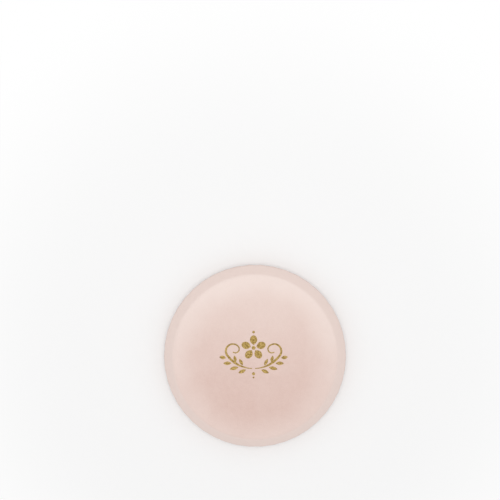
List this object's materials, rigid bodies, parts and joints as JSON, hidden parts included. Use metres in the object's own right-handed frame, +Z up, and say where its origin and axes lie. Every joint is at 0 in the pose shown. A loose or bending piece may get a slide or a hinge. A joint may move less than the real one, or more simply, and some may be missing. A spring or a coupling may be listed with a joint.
{
  "type": "powder puff",
  "caption": "Round cosmetic powder puff: two velour covers sewn over a foam disc, with a low crown on the printed side and a flat plain side to rest on.",
  "frame": {"origin": "middle of the flat resting face of plain_cover", "axes": "+Z up through the middle of the printed side, +Y towards the top edge of the print"},
  "size_m": [0.06, 0.06, 0.0102],
  "materials": {
    "velour": "matt short-pile velour, pale blush pink",
    "foam": "open-cell polyurethane foam, cream",
    "thread": "spun cotton sewing thread, pale pink"
  },
  "bodies": {
    "root": {"printed_cover": "velour", "plain_cover": "velour", "foam_core": "foam", "seam_thread": "thread", "closing_thread": "thread"}
  },
  "joints": []
}
